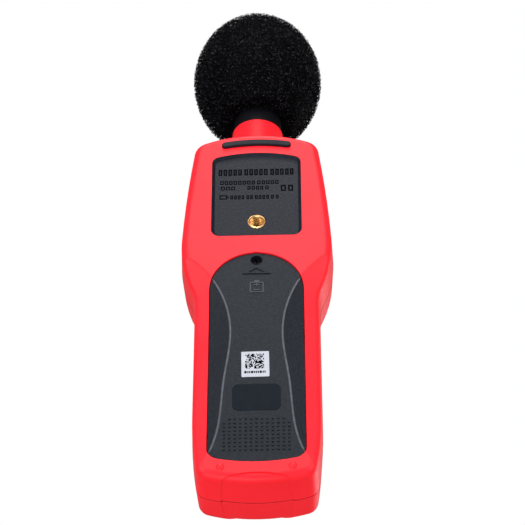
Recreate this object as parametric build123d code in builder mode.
from build123d import *
import os
from math import acos, atan2, cos, degrees, radians, sin, sqrt

# Hand-held sound level meter with a foam windscreen, millimetres.
# X runs across, +Z toward the microphone, the display faces -Y and the back faces +Y.
# The origin is the middle of the mouth of the tripod socket in the back.

# ---------------------------------------------------------------- driving dimensions
# Case: two shells that meet on one plane, which also holds the microphone's axis.
plate_recess = 1.3          # floor of the rating plate below the back face
back_y = plate_recess       # the flat back face
rear_depth = 17.0
front_depth = 16.5
wall = 2.4
draft_angle = 2.5
rear_edge_radius = 3.3
front_edge_radius = 5.2
seam_chamfer = 0.25         # groove where the two shells meet

head_half = 34.5            # half width where the shoulder starts
shoulder_z = -9.5
head_bow_radius = 660.0     # the sides of the head are slightly bowed
handle_half = 28.05
head_top = 55.2
head_top_half = 29.0        # the head narrows toward the microphone
head_top_radius = 64.0
head_corner_radius = 8.5
shoulder_radius = 65.0
waist_radius = 17.5
handle_end_z = -107.0       # the handle's sides start to close in below this
heel_half = 26.3
heel_z = -134.0
foot_half = 25.4
foot_z = -144.2
foot_radius = 76.0
foot_corner_radius = 6.0

neck_radius = 12.05
neck_top = 68.1
neck_bore_radius = 10.1
neck_root = 47.0

# Thumb scoops: a tilted floor whose edge on the flat back is an hourglass.
scoop_tilt = 17.0
scoop_waist = 11.4
grip_radius = 2.8
scoop_edge = [(-17.0, 37.5), (-27.0, 25.2), (-43.0, 15.5), (-65.0, 11.4),
              (-92.0, 14.2), (-127.0, 19.3), (-142.0, 28.0)]

# Battery door
door_half = 20.7
door_arch_z = -40.6         # centre of the round top
door_bottom = -133.8
door_corner_radius = 5.4
door_bottom_radius = 78.0
door_gap = 0.4
door_drop = 0.6             # the door lies a little under the back face
door_skin = 2.0
door_rest_gap = 0.2
ledge_thickness = 1.6
ledge_width = 1.4

screw_z = -23.8
screw_head_radius = 2.5
screw_head_top = 3.6        # depth under the back face
screw_seat = 5.2
screw_tip = 12.6
screw_radius = 1.5
screw_boss_radius = 3.8
screw_boss_depth = 6.6
screw_ring_depth = 9.3
screw_ring_thickness = 0.8
screw_ring_radius = 2.5
screw_nut_depth = 10.4
screw_nut_boss_radius = 3.2
pocket_gap = 0.7            # room round the door's screw boss and the retaining ring

hook_x = 11.0
hook_width = 3.5
hook_depth = 2.8
hook_thickness = 1.4
hook_root_z = -131.6
hook_neck_z = -133.0         # the neck clears the rim as the door swings
hook_end_z = -137.0
hook_slot_room = 3.4        # depth of the slot behind each hook
hook_side_gap = 0.4

pip_columns = 13
pip_rows = 8
pip_pitch_x = 2.29
pip_first_z = -113.6
pip_last_z = -127.35
pip_pitch_z = (pip_first_z - pip_last_z) / (pip_rows - 1)
pip_top_gap = 2.15
pip_radius = 0.55
pip_height = 0.35
arrow_z = -30.4
arrow_width = 12.8
arrow_side = 7.6
arrow_line = 0.75
sticker_x = 0.5
sticker_z = -82.65
sticker_width = 12.0
sticker_height = 13.7
sticker_tilt = 0.8          # stuck on slightly askew, in degrees
sticker_thickness = 0.12
label_z = -100.35
label_width = 20.8
label_height = 13.9

# Battery compartment, four AA cells, two by two
cell_radius = 7.25
cell_length = 50.5
cell_nub_radius = 2.75
cell_nub_length = 1.0
cell_x = 7.5
cell_depth = 10.4
cells_bottom = -131.0
bay_half = 15.3
bay_top = -27.2
bay_bottom = -133.6
bay_wall = 1.5
bay_floor = 17.9
lead_radius = 0.6
lead_rise = 1.5             # the leads leave the compartment this far behind the seam
lead_height = 5.0

# Rating plate, rest bar and tripod insert
plate_half = 20.55
plate_top = 41.6
plate_bottom = -9.5
plate_top_radius = 66.0
plate_corner_radius = 4.0
plate_thickness = 1.6
plate_rim = 0.1
plate_seat = plate_recess + plate_thickness + 0.1
fit_gap = 0.1
insert_radius = 4.15
insert_boss_radius = 7.0
insert_bore = 2.6
insert_length = 12.0
insert_bore_length = 10.0
bar_z = 47.6
bar_radius = 74.0
bar_chord = 32.2
bar_width = 3.15
bar_height = 1.4
bar_root = 1.0

# Foot end: a shallow recess that wraps it and two small domes
foot_recess_half = 15.6
foot_recess_depth = 0.6
foot_recess_top = -139.3
foot_recess_side_top = -142.3
dome_x = 15.1
dome_z = -136.6
dome_radius = 1.8
dome_height = 0.9
dome_ball = (dome_radius ** 2 + dome_height ** 2) / (2 * dome_height)

# Electronics
board_depth = 21.0
board_thickness = 1.6
board_inset = 4.4
board_top = 47.0
board_bottom = -57.0
post_places = [(15.5, -1.0), (19.1, -64.0), (19.1, -118.0)]
post_radius = 3.3
post_shoulder_radius = 4.3
post_neck_radius = 2.2
tab_x = 17.0
tab_width = 5.0
tab_thickness = 1.2
tab_reach = 3.0
case_screw_radius = 1.25
case_screw_head_radius = 1.95
case_screw_head_top = 9.2
case_screw_seat = 10.8
case_screw_tip = 25.0

frame_half = 25.0
frame_bottom = 4.2
frame_top = 44.2
view_half = 21.8
view_bottom = 8.2
view_top = 40.8
panel_inset = 6.2
panel_bottom = -58.5
panel_thickness = 0.8

key_width = 14.0
key_height = 8.6
key_corner = 2.6
key_gap = 0.25
key_rise = 0.9
key_travel = 0.8
key_places = {
    "key_hold": (-17.5, -12.5), "key_backlight": (0.0, -12.5), "key_maximum": (17.5, -12.5),
    "key_weighting": (-17.5, -27.0), "key_response": (0.0, -27.0), "key_range": (17.5, -27.0),
}
power_key_z = -43.5
power_key_radius = 6.6

# Microphone
collar_radius = 11.35
collar_top = 82.5
barrel_radius = 6.6
barrel_wall = 0.9
barrel_bottom = 54.0
barrel_top = 103.5
grid_top = 109.0
foam_radius = 31.5
foam_half_length = 37.85
foam_centre_z = 104.4
foam_mouth_z = 75.6
foam_gap = 0.3

os.makedirs("parts", exist_ok=True)

# ---------------------------------------------------------------- planes and helpers
parting_y = back_y - rear_depth
door_top = door_arch_z + door_half
door_rest = door_drop + door_skin + door_rest_gap


def back_plane(depth):
    """Plane at a depth under the flat back face, facing out of the back."""
    return Plane(origin=(0, back_y - depth, 0), x_dir=(-1, 0, 0), z_dir=(0, 1, 0))


def front_plane(depth):
    """The same plane, facing out of the front."""
    return Plane(origin=(0, back_y - depth, 0), x_dir=(1, 0, 0), z_dir=(0, -1, 0))


def axis_plane(z):
    """Plane across the microphone's axis."""
    return Plane(origin=(0, parting_y, z))


def export(part, name):
    """Labels a finished piece and writes its file."""
    part.label = name
    export_step(part, f"parts/{name}.step")


# ---------------------------------------------------------------- shared outlines
def arc_z(x, apex, radius):
    """Height at x of an arc across the case that bulges up to its apex."""
    return apex - radius + sqrt(radius ** 2 - x ** 2)


head_top_z = arc_z(head_top_half, head_top, head_top_radius)
foot_corner_z = -arc_z(foot_half, -foot_z, foot_radius)

# Plan outline of the case, one half from tangent lines and arcs, then mirrored.
with BuildSketch() as case_outline:
    with BuildLine():
        top = RadiusArc((0, head_top), (head_top_half, head_top_z), head_top_radius)
        side = RadiusArc(top @ 1, (head_half, shoulder_z), head_bow_radius)
        side_angle = degrees(atan2((side % 1).X, -(side % 1).Y))
        widest = head_half + shoulder_radius * (1 - cos(radians(side_angle)))
        # Steepest slope of the shoulder, so that its two arcs end at the handle's width.
        shoulder_angle = degrees(acos(1 - (widest - handle_half) / (shoulder_radius + waist_radius)))
        shoulder = JernArc(side @ 1, side % 1, shoulder_radius, -(side_angle + shoulder_angle))
        waist = JernArc(shoulder @ 1, shoulder % 1, waist_radius, shoulder_angle)
        grip = Line(waist @ 1, ((waist @ 1).X, handle_end_z))
        heel = TangentArc(grip @ 1, (heel_half, heel_z), tangent=(0, -1))
        corner = Line(heel @ 1, (foot_half, foot_corner_z))
        foot = RadiusArc(corner @ 1, (0, foot_z), foot_radius)
        Line(foot @ 1, top @ 0)
    make_face()
    mirror(about=Plane.YZ)
    fillet(case_outline.vertices().group_by(Axis.Y)[-1], head_corner_radius)
    fillet(case_outline.vertices().group_by(Axis.Y)[0], foot_corner_radius)

# Plan outline of the battery door: a round top, straight sides and rounded corners.
with BuildSketch() as door_outline:
    with BuildLine():
        bottom_corner_z = -arc_z(door_half, -door_bottom, door_bottom_radius)
        arch = ThreePointArc((-door_half, door_arch_z), (0, door_top), (door_half, door_arch_z))
        right = Line(arch @ 1, (door_half, bottom_corner_z))
        bottom = ThreePointArc(right @ 1, (0, door_bottom), (-door_half, bottom_corner_z))
        Line(bottom @ 1, arch @ 0)
    make_face()
    fillet(door_outline.vertices().group_by(Axis.Y)[0], door_corner_radius)

# Plan outline of the rating plate: an arched top edge over a straight-sided tray.
with BuildSketch() as plate_outline:
    with BuildLine():
        plate_corner_z = arc_z(plate_half, plate_top, plate_top_radius)
        arch = ThreePointArc((-plate_half, plate_corner_z), (0, plate_top), (plate_half, plate_corner_z))
        Polyline(arch @ 1, (plate_half, plate_bottom), (-plate_half, plate_bottom), arch @ 0)
    make_face()
    fillet(plate_outline.vertices(), plate_corner_radius)

# Shallow recess that wraps the foot end, with an arched upper edge.
with BuildSketch() as foot_recess_outline:
    with BuildLine():
        arch = ThreePointArc((-foot_recess_half, foot_recess_side_top), (0, foot_recess_top),
                             (foot_recess_half, foot_recess_side_top))
        Polyline(arch @ 1, (foot_recess_half, foot_z - 1), (-foot_recess_half, foot_z - 1), arch @ 0)
    make_face()

# Slot along an arc for the rest bar under the neck.
with BuildSketch() as bar_outline:
    with BuildLine():
        bar_half = bar_chord / 2 - bar_width / 2
        bar_arc = ThreePointArc((-bar_half, arc_z(bar_half, bar_z, bar_radius)), (0, bar_z),
                                (bar_half, arc_z(bar_half, bar_z, bar_radius)))
    SlotArc(bar_arc, bar_width)

# ---------------------------------------------------------------- back surface with the scoops
# The scoop floor is a profile along Z carried outward and down along a tilted line.
tilt = radians(scoop_tilt)
scoop_plane = Plane(origin=(scoop_waist, back_y, 0), x_dir=(0, 0, 1), z_dir=(-cos(tilt), sin(tilt), 0))
scoop_reach = 30.0
with BuildPart() as scoops:
    with BuildSketch(scoop_plane):
        with BuildLine():
            floor = Spline([(z, (x - scoop_waist) * sin(tilt)) for z, x in scoop_edge])
            Polyline(floor @ 1, ((floor @ 1).X, scoop_reach), ((floor @ 0).X, scoop_reach), floor @ 0)
        make_face()
    extrude(amount=scoop_reach, both=True)
    mirror(about=Plane.YZ)

# Everything deeper than the handle's back surface.
with BuildPart() as under_back:
    with BuildSketch(front_plane(0)):
        with Locations((0, (door_top + foot_z) / 2)):
            Rectangle(2 * head_half, door_top - foot_z)
    extrude(amount=1.5 * rear_depth)
    add(scoops.part, mode=Mode.SUBTRACT)


def under(depth):
    """Everything deeper than the back surface moved in by a depth."""
    return under_back.part.moved(Location((0, -depth, 0)))


def case_blank(plane, depth, edge, inset=0.0):
    """Tapered half of the case, from the seam outward, with a rounded outer edge."""
    with BuildPart() as blank:
        with BuildSketch(plane):
            add(case_outline.sketch)
            if inset:
                offset(amount=-inset, mode=Mode.REPLACE)
        extrude(amount=depth, taper=draft_angle)
        if edge:
            outward = Axis.Y if plane.z_dir.Y > 0 else -Axis.Y
            fillet(blank.faces().sort_by(outward)[-1].edges(), edge)
            chamfer(blank.faces().sort_by(outward)[0].edges(), seam_chamfer)
    return blank.part


def foot_recess(plane, depth, edge):
    """What the recess at the foot end takes away from one half of the case."""
    with BuildPart() as skin:
        with BuildSketch(plane):
            add(foot_recess_outline.sketch)
        extrude(amount=depth + 1)
        add(case_blank(plane, depth - foot_recess_depth, edge - foot_recess_depth, inset=foot_recess_depth),
            mode=Mode.SUBTRACT)
    return skin.part


# ---------------------------------------------------------------- rear shell
seam_rear = back_plane(rear_depth)
seam_front = front_plane(rear_depth)
with BuildPart() as rear_outside:
    add(case_blank(seam_rear, rear_depth, rear_edge_radius))
    add(scoops.part, mode=Mode.SUBTRACT)
    # Round the line where the scoops run out into the sides of the handle.
    grip_edges = [edge for edge in rear_outside.edges()
                  if abs(edge.center().X) > 24 and -125 < edge.center().Z < -40
                  and back_y - 8 < edge.center().Y < back_y - 2]
    fillet(grip_edges, grip_radius)
    add(foot_recess(seam_rear, rear_depth, rear_edge_radius), mode=Mode.SUBTRACT)

with BuildPart() as rear_inside:
    add(case_blank(back_plane(rear_depth + 1), rear_depth + 1 - wall, 0, inset=wall))
    add(scoops.part.moved(Location((0, -wall, 0))), mode=Mode.SUBTRACT)

# Battery compartment: a box whose rim follows the underside of the door.
bay_outer_half = bay_half + bay_wall
with BuildPart() as bay:
    with BuildSketch(front_plane(0)):
        with Locations((0, (bay_top + bay_bottom) / 2)):
            Rectangle(2 * bay_outer_half, bay_top - bay_bottom + 2 * bay_wall)
    extrude(amount=bay_floor + bay_wall)
    add(under(door_rest), mode=Mode.INTERSECT)

# Screw posts on both sides of the compartment, under the door.
with BuildPart() as door_posts:
    with BuildSketch(front_plane(0)):
        for x, z in post_places[1:]:
            with Locations((x, z), (-x, z)):
                Circle(post_radius)
    extrude(amount=rear_depth)
    add(under(door_rest), mode=Mode.INTERSECT)

# Ledge that carries the door's rim.
with BuildPart() as ledge:
    with BuildSketch(front_plane(0)):
        add(door_outline.sketch)
        offset(amount=door_gap + ledge_width, mode=Mode.REPLACE)
    extrude(amount=rear_depth)
    add(under(door_rest), mode=Mode.INTERSECT)
    add(under(door_rest + ledge_thickness), mode=Mode.SUBTRACT)

with BuildPart() as rear_shell:
    add(rear_outside.part)
    with BuildSketch(axis_plane(neck_root)):
        Circle(neck_radius)
    extrude(amount=neck_top - neck_root)
    add(rear_inside.part, mode=Mode.SUBTRACT)
    # Seat for the rating plate, thickened from inside.
    with BuildSketch(front_plane(wall / 2)):
        add(plate_outline.sketch)
        offset(amount=bay_wall, mode=Mode.REPLACE)
    extrude(amount=plate_seat + bay_wall - wall / 2)
    # Boss of the tripod insert.
    with BuildSketch(front_plane(plate_seat)):
        Circle(insert_boss_radius)
    extrude(amount=plate_recess + insert_length + bay_wall - plate_seat)
    # Two screw posts under the rating plate.
    with BuildSketch(front_plane(plate_seat)):
        with Locations(post_places[0], (-post_places[0][0], post_places[0][1])):
            Circle(post_radius)
    extrude(amount=rear_depth - plate_seat)
    # Battery compartment and door ledge.
    with BuildSketch(front_plane(-1)):
        add(door_outline.sketch)
        offset(amount=door_gap, mode=Mode.REPLACE)
    extrude(amount=1 + wall + plate_seat, mode=Mode.SUBTRACT)
    add(ledge.part)
    add(bay.part)
    add(door_posts.part)
    with BuildSketch(front_plane(screw_nut_depth)):
        with Locations((0, screw_z)):
            Circle(screw_nut_boss_radius)
    extrude(amount=bay_floor + bay_wall - screw_nut_depth)
    # Inside of the compartment, behind the rim that frames the door.
    with BuildSketch(front_plane(wall)):
        with Locations((0, (bay_top + bay_bottom) / 2)):
            Rectangle(2 * bay_half, bay_top - bay_bottom)
    extrude(amount=bay_floor - wall, mode=Mode.SUBTRACT)
    # Pocket for the door's screw boss, then for the screw's retaining ring, then the nut bore.
    for radius, depth in ((screw_boss_radius + pocket_gap, screw_boss_depth + 0.6),
                          (screw_ring_radius + pocket_gap, screw_nut_depth),
                          (screw_radius + 0.3, screw_tip + 0.8)):
        with BuildSketch(front_plane(-1)):
            with Locations((0, screw_z)):
                Circle(radius)
        extrude(amount=1 + depth, mode=Mode.SUBTRACT)
    # Slots for the door's two hooks.
    with BuildSketch(front_plane(wall)):
        with Locations((hook_x, bay_bottom - bay_wall / 2), (-hook_x, bay_bottom - bay_wall / 2)):
            Rectangle(hook_width + 2 * hook_side_gap, bay_wall + 2)
    extrude(amount=hook_depth + hook_slot_room - wall, mode=Mode.SUBTRACT)
    # Holes for the battery leads.
    with BuildSketch(axis_plane(bay_top - 1)):
        with Locations((cell_x, lead_rise), (-cell_x, lead_rise)):
            Circle(lead_radius + 0.3)
    extrude(amount=bay_wall + 2, mode=Mode.SUBTRACT)
    # Seat of the plate, insert hole and case screws.
    with BuildSketch(front_plane(-1)):
        add(plate_outline.sketch)
        offset(amount=fit_gap, mode=Mode.REPLACE)
    extrude(amount=1 + plate_seat, mode=Mode.SUBTRACT)
    with BuildSketch(front_plane(0)):
        Circle(insert_radius)
    extrude(amount=plate_recess + insert_length, mode=Mode.SUBTRACT)
    for x, z in post_places:
        for radius, depth in ((case_screw_head_radius + 0.1, case_screw_seat),
                              (case_screw_radius + 0.15, rear_depth + 1)):
            with BuildSketch(front_plane(0)):
                with Locations((x, z), (-x, z)):
                    Circle(radius)
            extrude(amount=depth, mode=Mode.SUBTRACT)
    # Socket for the rest bar.
    with BuildSketch(front_plane(0)):
        add(bar_outline.sketch)
        offset(amount=0.05, mode=Mode.REPLACE)
    extrude(amount=bar_root, mode=Mode.SUBTRACT)
    # Neck bore, and everything past the seam except the compartment.
    with BuildSketch(axis_plane(neck_root - 6)):
        Circle(neck_bore_radius)
    extrude(amount=neck_top - neck_root + 7, mode=Mode.SUBTRACT)
    with BuildSketch(axis_plane(neck_root - 6)):
        with Locations((0, -neck_radius)):
            Rectangle(2 * neck_radius + 2, 2 * neck_radius)
    extrude(amount=neck_top - neck_root + 7, mode=Mode.SUBTRACT)
    # Two small domes on the back beside the foot pad.
    with Locations((dome_x, back_y + dome_height - dome_ball, dome_z),
                   (-dome_x, back_y + dome_height - dome_ball, dome_z)):
        Sphere(dome_ball)
export(rear_shell.part, "rear_shell")

# ---------------------------------------------------------------- front shell
front_floor = rear_depth + front_depth - wall
panel_seat = rear_depth + front_depth - panel_thickness - 0.1
with BuildSketch() as panel_outline:
    add(case_outline.sketch)
    offset(amount=-panel_inset, mode=Mode.REPLACE)
    with Locations((0, (panel_bottom + head_top) / 2)):
        Rectangle(2 * head_half, head_top - panel_bottom, mode=Mode.INTERSECT)
    fillet(panel_outline.vertices().group_by(Axis.Y)[0], 6)

with BuildSketch() as key_outlines:
    with Locations(*key_places.values()):
        RectangleRounded(key_width, key_height, key_corner)
    with Locations((0, power_key_z)):
        Circle(power_key_radius)

with BuildSketch() as view_outline:
    with Locations((0, (view_top + view_bottom) / 2)):
        RectangleRounded(2 * view_half, view_top - view_bottom, 1.0)

with BuildPart() as front_inside:
    add(case_blank(front_plane(rear_depth - 1), front_floor - rear_depth + 1, 0, inset=wall))

with BuildPart() as front_shell:
    add(case_blank(seam_front, front_depth, front_edge_radius))
    add(foot_recess(seam_front, front_depth, front_edge_radius), mode=Mode.SUBTRACT)
    with BuildSketch(axis_plane(neck_root)):
        Circle(neck_radius)
    extrude(amount=neck_top - neck_root)
    add(front_inside.part, mode=Mode.SUBTRACT)
    with BuildSketch(axis_plane(neck_root - 6)):
        Circle(neck_bore_radius)
    extrude(amount=neck_top - neck_root + 7, mode=Mode.SUBTRACT)
    with BuildSketch(axis_plane(neck_root - 6)):
        with Locations((0, neck_radius)):
            Rectangle(2 * neck_radius + 2, 2 * neck_radius)
    extrude(amount=neck_top - neck_root + 7, mode=Mode.SUBTRACT)
    # Posts for the case screws, stepped where they carry the main board.
    board_front = board_depth + board_thickness
    for x, z in post_places:
        with BuildSketch(front_plane(rear_depth + 0.1)):
            with Locations((x, z), (-x, z)):
                Circle(post_neck_radius)
        extrude(amount=front_floor - rear_depth)
        with BuildSketch(front_plane(board_front + 0.1)):
            with Locations((x, z), (-x, z)):
                Circle(post_shoulder_radius)
        extrude(amount=front_floor - board_front)
        with BuildSketch(front_plane(rear_depth)):
            with Locations((x, z), (-x, z)):
                Circle(case_screw_radius + 0.02)
        extrude(amount=case_screw_tip - rear_depth + 1, mode=Mode.SUBTRACT)
    # Two tabs that hook behind the top of the rear shell.
    for x in (-tab_x, tab_x):
        tab_z = arc_z(tab_x, head_top, head_top_radius) - wall - 2 * tab_thickness
        with BuildSketch(front_plane(rear_depth - tab_reach)):
            with Locations((x, tab_z)):
                Rectangle(tab_width, tab_thickness)
        extrude(amount=2 * tab_reach)
        with BuildSketch(front_plane(rear_depth + 0.5)):
            with Locations((x, tab_z + tab_thickness)):
                Rectangle(tab_width, 3 * tab_thickness)
        extrude(amount=tab_reach - 0.5)
    # Openings for the display and the keys, and the recess of the front panel.
    with BuildSketch(front_plane(front_floor - 1)):
        add(view_outline.sketch)
    extrude(amount=wall + 2, mode=Mode.SUBTRACT)
    with BuildSketch(front_plane(front_floor - 1)):
        add(key_outlines.sketch)
        offset(amount=key_gap, mode=Mode.REPLACE)
    extrude(amount=wall + 2, mode=Mode.SUBTRACT)
    with BuildSketch(front_plane(panel_seat)):
        add(panel_outline.sketch)
        offset(amount=fit_gap, mode=Mode.REPLACE)
    extrude(amount=panel_thickness + 1, mode=Mode.SUBTRACT)
export(front_shell.part, "front_shell")

with BuildPart() as front_panel:
    with BuildSketch(front_plane(panel_seat)):
        add(panel_outline.sketch)
    extrude(amount=panel_thickness)
    with BuildSketch(front_plane(panel_seat - 1)):
        add(key_outlines.sketch)
        offset(amount=key_gap, mode=Mode.REPLACE)
    extrude(amount=panel_thickness + 2, mode=Mode.SUBTRACT)
    with BuildSketch(front_plane(panel_seat - 1)):
        with Locations((0, (view_top + view_bottom) / 2)):
            RectangleRounded(2 * view_half + 2.6, view_top - view_bottom + 2.6, 2.2)
    extrude(amount=panel_thickness + 2, mode=Mode.SUBTRACT)
export(front_panel.part, "front_panel")

with BuildPart() as display_window:
    with BuildSketch(front_plane(panel_seat)):
        with Locations((0, (view_top + view_bottom) / 2)):
            RectangleRounded(2 * view_half + 2.4, view_top - view_bottom + 2.4, 2.1)
    extrude(amount=panel_thickness)
export(display_window.part, "display_window")

# ---------------------------------------------------------------- keys
switch_base = 4.0
switch_side = 6.0
stem_radius = 1.7
stem_tip = board_front + 2.4
flange_top = front_floor - 0.1
flange_depth = flange_top - 1.0


def make_key(name, x, z, outline):
    """Key cap with a retaining flange and the stem that works its switch."""
    with BuildPart() as key:
        with BuildSketch(front_plane(flange_depth)):
            with Locations((x, z)):
                add(outline)
                offset(amount=0.8, mode=Mode.REPLACE)
        extrude(amount=flange_top - flange_depth)
        with BuildSketch(front_plane(flange_top)):
            with Locations((x, z)):
                add(outline)
        extrude(amount=rear_depth + front_depth + key_rise - flange_top)
        fillet(key.faces().sort_by(Axis.Y)[0].edges(), 0.6)
        with BuildSketch(front_plane(stem_tip)):
            with Locations((x, z)):
                Circle(stem_radius)
        extrude(amount=flange_depth - stem_tip)
    export(key.part, name)


with BuildSketch() as bar_key:
    RectangleRounded(key_width, key_height, key_corner)
with BuildSketch() as round_key:
    Circle(power_key_radius)
for key_name, (key_x, key_z) in key_places.items():
    make_key(key_name, key_x, key_z, bar_key.sketch)
make_key("key_power", 0, power_key_z, round_key.sketch)

with BuildPart() as key_switches:
    switch_spots = list(key_places.values()) + [(0, power_key_z)]
    with BuildSketch(front_plane(board_front)):
        with Locations(*switch_spots):
            RectangleRounded(switch_side, switch_side, 0.5)
    extrude(amount=switch_base)
    with BuildSketch(front_plane(stem_tip - key_travel - 0.2)):
        with Locations(*switch_spots):
            Circle(stem_radius + 0.15)
    extrude(amount=switch_base, mode=Mode.SUBTRACT)
export(key_switches.part, "key_switches")

# ---------------------------------------------------------------- display and electronics
with BuildPart() as main_board:
    with BuildSketch(front_plane(board_depth)):
        add(case_outline.sketch)
        offset(amount=-board_inset, mode=Mode.REPLACE)
        with Locations((0, (board_bottom + board_top) / 2)):
            Rectangle(2 * head_half, board_top - board_bottom, mode=Mode.INTERSECT)
        with Locations(post_places[0], (-post_places[0][0], post_places[0][1])):
            Circle(post_neck_radius + 0.2, mode=Mode.SUBTRACT)
    extrude(amount=board_thickness)
export(main_board.part, "main_board")

# Parts on the back of the board: the processor, converter, amplifiers, a crystal and capacitors.
# Each row is a width, a height along Z, a thickness and a place on the board.
chip_places = [(12.0, 12.0, 1.6, -8.0, 14.0), (8.0, 5.0, 1.5, 9.0, 22.0), (5.0, 4.0, 1.4, -10.0, 31.0),
               (5.0, 4.0, 1.4, 4.0, 34.0), (11.0, 4.6, 2.6, 14.0, 8.0), (3.2, 1.6, 1.0, 2.0, 14.0),
               (3.2, 1.6, 1.0, 2.0, 10.0), (7.3, 4.3, 2.4, -22.0, 24.0), (7.3, 4.3, 2.4, 22.0, 33.0)]
with BuildPart() as board_components:
    for size_x, size_z, height, x, z in chip_places:
        with BuildSketch(back_plane(board_depth)):
            with Locations((-x, z)):
                Rectangle(size_x, size_z)
        extrude(amount=height)
export(board_components.part, "board_components")

frame_z = (frame_top + frame_bottom) / 2
frame_height = frame_top - frame_bottom
frame_front = front_floor - 0.7
glass_back = board_front + 4.0
glass_thickness = 2.8
with BuildPart() as lcd_frame:
    with BuildSketch(front_plane(board_front + 0.05)):
        with Locations((0, frame_z)):
            Rectangle(2 * frame_half, frame_height)
    extrude(amount=frame_front - board_front - 0.05)
    with BuildSketch(front_plane(board_front)):
        with Locations((0, frame_z)):
            Rectangle(2 * frame_half - 2, frame_height - 2)
    extrude(amount=glass_back + glass_thickness + 0.1 - board_front, mode=Mode.SUBTRACT)
    with BuildSketch(front_plane(board_front)):
        add(view_outline.sketch)
    extrude(amount=front_depth, mode=Mode.SUBTRACT)
export(lcd_frame.part, "lcd_frame")

with BuildPart() as lcd_glass:
    with BuildSketch(front_plane(glass_back)):
        with Locations((0, frame_z)):
            Rectangle(2 * frame_half - 2.2, frame_height - 2.2)
    extrude(amount=glass_thickness)
export(lcd_glass.part, "lcd_glass")

strip_height = 2.0
with BuildPart() as lcd_backlight:
    with BuildSketch(front_plane(board_front + 0.8)):
        with Locations((0, frame_z + 2.0)):
            Rectangle(2 * frame_half - 3, frame_height - 6.6)
    extrude(amount=glass_back - board_front - 0.9)
export(lcd_backlight.part, "lcd_backlight")

with BuildPart() as lcd_connector:
    with BuildSketch(front_plane(board_front + 0.05)):
        with Locations((0, frame_bottom + 1.6 + strip_height / 2)):
            Rectangle(2 * view_half, strip_height)
    extrude(amount=glass_back - board_front - 0.1)
export(lcd_connector.part, "lcd_connector")

# ---------------------------------------------------------------- battery door and its screw
with BuildPart() as battery_door:
    with BuildSketch(front_plane(0)):
        add(door_outline.sketch)
    extrude(amount=rear_depth)
    add(under(door_drop), mode=Mode.INTERSECT)
    add(under(door_drop + door_skin), mode=Mode.SUBTRACT)
    # Boss for the captive screw.
    with BuildSketch(front_plane(door_drop + door_skin / 2)):
        with Locations((0, screw_z)):
            Circle(screw_boss_radius)
    extrude(amount=screw_boss_depth - door_drop - door_skin / 2)
    for radius, start, end in ((screw_head_radius + 0.2, -1, screw_seat),
                               (screw_radius + 0.2, 0, screw_boss_depth + 1)):
        with BuildSketch(front_plane(start)):
            with Locations((0, screw_z)):
                Circle(radius)
        extrude(amount=end - start, mode=Mode.SUBTRACT)
    # Two hooks that reach under the rim at the foot end.
    with BuildSketch(front_plane(hook_depth)):
        with Locations(*[(x, (hook_end_z + hook_root_z) / 2) for x in (-hook_x, hook_x)]):
            Rectangle(hook_width, hook_root_z - hook_end_z)
    extrude(amount=hook_thickness)
    with BuildSketch(front_plane(door_drop + door_skin - 0.2)):
        with Locations(*[(x, (hook_root_z + hook_neck_z) / 2) for x in (-hook_x, hook_x)]):
            Rectangle(hook_width, hook_root_z - hook_neck_z)
    extrude(amount=hook_depth - door_drop - door_skin + 0.4)
    # Raised grip pips near the foot end.
    with BuildSketch(back_plane(door_drop)):
        with Locations((0, (pip_first_z + pip_last_z) / 2)):
            with GridLocations(pip_pitch_x, pip_pitch_z, pip_columns, pip_rows):
                Circle(pip_radius)
        with Locations((0, pip_first_z + pip_top_gap)):
            with GridLocations(pip_pitch_x, 1, pip_columns - 2, 1):
                Circle(pip_radius)
    extrude(amount=pip_height)
    # Raised arrow that points along the way the door opens.
    with BuildSketch(back_plane(door_drop)):
        with Locations((0, arrow_z)):
            Triangle(a=arrow_width, b=arrow_side, c=arrow_side)
        offset(amount=-arrow_line, kind=Kind.INTERSECTION, mode=Mode.SUBTRACT)
    extrude(amount=pip_height)
export(battery_door.part, "battery_door")

with BuildPart() as door_screw:
    with BuildSketch(front_plane(screw_head_top)):
        with Locations((0, screw_z)):
            Circle(screw_head_radius)
    extrude(amount=screw_seat - screw_head_top)
    with BuildSketch(front_plane(screw_seat)):
        with Locations((0, screw_z)):
            Circle(screw_radius)
    extrude(amount=screw_tip - screw_seat)
    chamfer(door_screw.faces().sort_by(Axis.Y)[0].edges(), 0.4)
    with BuildSketch(front_plane(screw_head_top)):
        with Locations((0, screw_z)):
            Rectangle(2 * screw_head_radius * 0.72, 0.8)
            Rectangle(0.8, 2 * screw_head_radius * 0.72)
    extrude(amount=1.0, mode=Mode.SUBTRACT)
export(door_screw.part, "door_screw")

with BuildPart() as screw_ring:
    with BuildSketch(front_plane(screw_ring_depth)):
        with Locations((0, screw_z)):
            Circle(screw_ring_radius)
            Circle(screw_radius + 0.04, mode=Mode.SUBTRACT)
    extrude(amount=screw_ring_thickness)
export(screw_ring.part, "screw_ring")

with BuildPart() as code_sticker:
    with BuildSketch(back_plane(door_drop)):
        with Locations((-sticker_x, sticker_z)):
            RectangleRounded(sticker_width, sticker_height, 0.4, rotation=sticker_tilt)
    extrude(amount=sticker_thickness)
export(code_sticker.part, "code_sticker")

with BuildPart() as door_label:
    with BuildSketch(back_plane(door_drop)):
        with Locations((0, label_z)):
            RectangleRounded(label_width, label_height, 2.8)
    extrude(amount=sticker_thickness)
export(door_label.part, "door_label")

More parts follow.
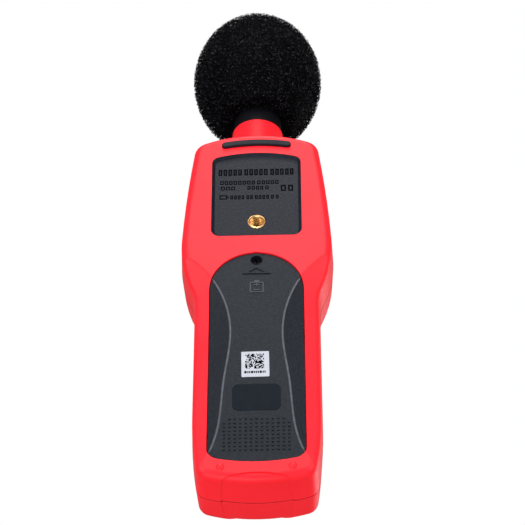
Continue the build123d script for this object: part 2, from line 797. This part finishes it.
# ---------------------------------------------------------------- rating plate, insert and rest bar
with BuildPart() as rating_plate:
    with BuildSketch(back_plane(plate_recess + plate_thickness)):
        add(plate_outline.sketch)
    extrude(amount=plate_recess + plate_thickness)
    # Tray with sloping walls.
    with BuildSketch(back_plane(plate_recess)):
        add(plate_outline.sketch)
        offset(amount=-plate_recess - plate_rim, mode=Mode.REPLACE)
    extrude(amount=plate_recess + 0.5, taper=-45, mode=Mode.SUBTRACT)
    with BuildSketch(back_plane(plate_recess + plate_thickness)):
        Circle(insert_radius + 0.05)
    extrude(amount=plate_thickness, mode=Mode.SUBTRACT)
export(rating_plate.part, "rating_plate")

with BuildPart() as tripod_insert:
    with BuildSketch(front_plane(plate_recess)):
        Circle(insert_radius - 0.02)
    extrude(amount=insert_length - 0.05)
    chamfer(tripod_insert.faces().sort_by(Axis.Y)[-1].edges(), 0.3)
    # Two undercuts that lock the insert in its boss.
    for start in (3.0, 7.0):
        with BuildSketch(front_plane(plate_recess + start)):
            Circle(insert_radius)
            Circle(insert_radius - 0.5, mode=Mode.SUBTRACT)
        extrude(amount=1.2, mode=Mode.SUBTRACT)
    with BuildSketch(front_plane(plate_recess)):
        Circle(insert_bore)
    extrude(amount=insert_bore_length, mode=Mode.SUBTRACT)
export(tripod_insert.part, "tripod_insert")

with BuildPart() as rest_bar:
    with BuildSketch(back_plane(bar_root)):
        add(bar_outline.sketch)
    extrude(amount=bar_root + bar_height)
    fillet(rest_bar.faces().sort_by(Axis.Y)[-1].edges(), 0.5)
export(rest_bar.part, "rest_bar")

# ---------------------------------------------------------------- cells, contacts and leads
def make_cell(name, x, z, positive_up):
    """AA cell standing along Z with its positive nub at one end."""
    body_bottom = z if positive_up else z + cell_nub_length
    nub_bottom = z + cell_length - cell_nub_length if positive_up else z
    centre_y = back_y - cell_depth
    with BuildPart() as cell:
        with BuildSketch(Plane(origin=(x, centre_y, body_bottom))):
            Circle(cell_radius)
        extrude(amount=cell_length - cell_nub_length)
        fillet(cell.edges(), 0.5)
        with BuildSketch(Plane(origin=(x, centre_y, nub_bottom))):
            Circle(cell_nub_radius)
        extrude(amount=cell_nub_length)
    export(cell.part, name)


cell_gap = 0.02
for side_name, x, up in (("right", cell_x, True), ("left", -cell_x, False)):
    make_cell(f"cell_{side_name}_lower", x, cells_bottom, up)
    make_cell(f"cell_{side_name}_upper", x, cells_bottom + cell_length + cell_gap, up)

contact_y = back_y - cell_depth
cells_top = cells_bottom + 2 * cell_length + cell_gap
sheet = 0.4
with BuildPart() as battery_contacts:
    # One sheet joins both columns at the foot; each column has its own plate at the top.
    with BuildSketch(Plane(origin=(0, contact_y, bay_bottom + 0.02))):
        Rectangle(2 * cell_x + 8, 8)
    extrude(amount=sheet)
    for x in (-cell_x, cell_x):
        with BuildSketch(Plane(origin=(x, contact_y, bay_top - 0.02 - sheet))):
            Rectangle(8, 8)
        extrude(amount=sheet)
    # Raised buttons meet the positive nubs, coiled springs meet the negative ends.
    with BuildSketch(Plane(origin=(cell_x, contact_y, cells_top + 0.05))):
        Circle(2.0)
    extrude(amount=bay_top - 0.02 - cells_top - 0.05)
    with BuildSketch(Plane(origin=(-cell_x, contact_y, bay_bottom + 0.02))):
        Circle(2.0)
    extrude(amount=cells_bottom - 0.05 - bay_bottom - 0.02)
export(battery_contacts.part, "battery_contacts")


def make_spring(name, x, start, direction):
    """Coiled contact spring between a sheet and the negative end of a cell."""
    turns = 2.5
    with BuildPart() as spring:
        with BuildLine():
            coil = Helix(pitch=spring_height / turns, height=spring_height, radius=spring_radius,
                         center=(x, contact_y, start), direction=(0, 0, direction))
        with BuildSketch(Plane(origin=coil @ 0, z_dir=coil % 0)):
            Circle(spring_wire)
        sweep()
    export(spring.part, name)


spring_wire = 0.3
spring_radius = 3.2
spring_room = cells_bottom - bay_bottom - 0.02 - sheet
spring_height = spring_room - 2 * spring_wire - 0.1
make_spring("spring_right", cell_x, bay_bottom + 0.02 + sheet + spring_wire + 0.05, 1)
make_spring("spring_left", -cell_x, bay_top - 0.02 - sheet - spring_wire - 0.05, -1)

with BuildPart() as battery_leads:
    for x in (-cell_x, cell_x):
        lead_y = parting_y + lead_rise
        board_back_y = back_y - board_depth
        with BuildLine():
            route = FilletPolyline((x, lead_y, bay_top + 0.02), (x, lead_y, bay_top + lead_height),
                                   (x, board_back_y + 0.02, bay_top + lead_height), radius=3)
        with BuildSketch(Plane(origin=route @ 0, z_dir=route % 0)):
            Circle(lead_radius)
        sweep()
export(battery_leads.part, "battery_leads")

# ---------------------------------------------------------------- case screws
with BuildPart() as case_screws:
    for x, z in post_places:
        for radius, start, end in ((case_screw_head_radius, case_screw_head_top, case_screw_seat),
                                   (case_screw_radius, case_screw_seat, case_screw_tip)):
            with BuildSketch(front_plane(start)):
                with Locations((x, z), (-x, z)):
                    Circle(radius)
            extrude(amount=end - start)
        with BuildSketch(front_plane(case_screw_head_top)):
            with Locations((x, z), (-x, z)):
                Rectangle(2.4, 0.6)
                Rectangle(0.6, 2.4)
        extrude(amount=0.8, mode=Mode.SUBTRACT)
export(case_screws.part, "case_screws")

# ---------------------------------------------------------------- microphone and windscreen
collar_tail = 49.2
seal_bottom = collar_top - 2.3
with BuildPart() as mic_collar:
    # Flange inside the case, spigot through the neck, sleeve above it.
    for radius, start, end in ((12.4, collar_tail, collar_tail + 2.0),
                               (neck_bore_radius - 0.05, collar_tail + 2.0, neck_top + 0.1),
                               (collar_radius, neck_top + 0.1, collar_top)):
        with BuildSketch(axis_plane(start)):
            Circle(radius)
        extrude(amount=end - start)
    fillet(mic_collar.faces().sort_by(Axis.Z)[-1].edges(), 0.8)
    with BuildSketch(axis_plane(collar_tail)):
        Circle(barrel_radius + 0.02)
    extrude(amount=collar_top - collar_tail, mode=Mode.SUBTRACT)
    with BuildSketch(axis_plane(seal_bottom)):
        Circle(barrel_radius + 1.55)
    extrude(amount=collar_top - seal_bottom, mode=Mode.SUBTRACT)
    # Four shallow ribs along the sleeve.
    with BuildSketch(axis_plane(neck_top + 0.1)):
        with PolarLocations(collar_radius - 0.05, 8, 22.5):
            Rectangle(0.3, 0.5)
    extrude(amount=foam_mouth_z - neck_top - 0.3)
export(mic_collar.part, "mic_collar")

with BuildPart() as mic_seal:
    with BuildSketch(axis_plane(seal_bottom + 0.05)):
        Circle(barrel_radius + 1.5)
        Circle(barrel_radius + 0.05, mode=Mode.SUBTRACT)
    extrude(amount=1.8)
    fillet(mic_seal.edges(), 0.6)
export(mic_seal.part, "mic_seal")

barrel_bore = barrel_radius - barrel_wall
with BuildPart() as mic_barrel:
    with BuildSketch(axis_plane(barrel_bottom)):
        Circle(barrel_radius)
        Circle(barrel_bore, mode=Mode.SUBTRACT)
    extrude(amount=barrel_top - barrel_bottom)
export(mic_barrel.part, "mic_barrel")

with BuildPart() as mic_capsule:
    with BuildSketch(axis_plane(barrel_top - 8.0)):
        Circle(barrel_bore - 0.05)
    extrude(amount=6.0)
    with BuildSketch(axis_plane(barrel_top - 2.0)):
        Circle(4.5)
    extrude(amount=0.6)
export(mic_capsule.part, "mic_capsule")

with BuildPart() as mic_grid:
    with BuildSketch(axis_plane(barrel_top + 0.05)):
        Circle(barrel_radius)
    extrude(amount=grid_top - barrel_top - 0.05)
    fillet(mic_grid.faces().sort_by(Axis.Z)[-1].edges(), 1.0)
    with BuildSketch(axis_plane(barrel_top + 0.05)):
        Circle(barrel_bore)
    extrude(amount=grid_top - barrel_top - 1.2, mode=Mode.SUBTRACT)
    # Skirt that screws into the barrel.
    with BuildSketch(axis_plane(barrel_top - 1.2)):
        Circle(barrel_bore - 0.03)
        Circle(barrel_bore - 0.7, mode=Mode.SUBTRACT)
    extrude(amount=1.25)
    with BuildSketch(axis_plane(barrel_top + 0.05)):
        Circle(barrel_bore + 0.3)
        Circle(barrel_bore - 0.7, mode=Mode.SUBTRACT)
    extrude(amount=0.5)
    with BuildSketch(axis_plane(grid_top - 2)):
        Circle(0.6)
        with PolarLocations(2.2, 6):
            Circle(0.6)
        with PolarLocations(4.2, 12):
            Circle(0.6)
    extrude(amount=3, mode=Mode.SUBTRACT)
export(mic_grid.part, "mic_grid")

preamp_bottom = 60.0
preamp_top = 94.0
with BuildPart() as preamp_board:
    with BuildSketch(axis_plane(preamp_bottom)):
        Rectangle(9.0, 1.0)
    extrude(amount=preamp_top - preamp_bottom)
    with BuildSketch(axis_plane(preamp_bottom + 8)):
        with Locations((0, 1.0)):
            Rectangle(5.0, 1.2)
    extrude(amount=6.0)
    with BuildSketch(axis_plane(preamp_bottom + 20)):
        with Locations((0, 1.0)):
            Rectangle(3.0, 1.2)
    extrude(amount=3.0)
export(preamp_board.part, "preamp_board")

# Flat flexible lead from the preamplifier to the back of the main board.
lead_thickness = 0.3
with BuildPart() as mic_lead:
    with BuildSketch(Plane.YZ.offset(-2.5)) as lead_profile:
        with BuildLine() as lead_line:
            lead_end_y = back_y - board_depth + lead_thickness / 2 + 0.02
            FilletPolyline((parting_y + 0.7, preamp_bottom + 4), (parting_y + 0.7, preamp_bottom - 4),
                           (lead_end_y, board_top + 1.5), (lead_end_y, board_top - 6), radius=2.5)
        trace(lead_line.wires(), lead_thickness)
    extrude(amount=5.0)
export(mic_lead.part, "mic_lead")

# Foam windscreen: an egg-shaped ball cut flat at its mouth, bored for the sleeve and the barrel.
with BuildPart() as windscreen:
    with BuildSketch(Plane.XZ.offset(-parting_y)):
        with Locations((0, foam_centre_z)):
            Ellipse(foam_radius, foam_half_length)
        with Locations((-foam_radius, foam_centre_z)):
            Rectangle(2 * foam_radius, 4 * foam_half_length, mode=Mode.SUBTRACT)
        with Locations((0, foam_mouth_z - foam_half_length)):
            Rectangle(4 * foam_radius, 2 * foam_half_length, mode=Mode.SUBTRACT)
    revolve(axis=Axis((0, parting_y, 0), (0, 0, 1)))
    for radius, end in ((collar_radius + foam_gap, collar_top + 1.0),
                        (barrel_radius + foam_gap, grid_top + 1.0)):
        with BuildSketch(axis_plane(foam_mouth_z)):
            Circle(radius)
        extrude(amount=end - foam_mouth_z, mode=Mode.SUBTRACT)
export(windscreen.part, "windscreen")
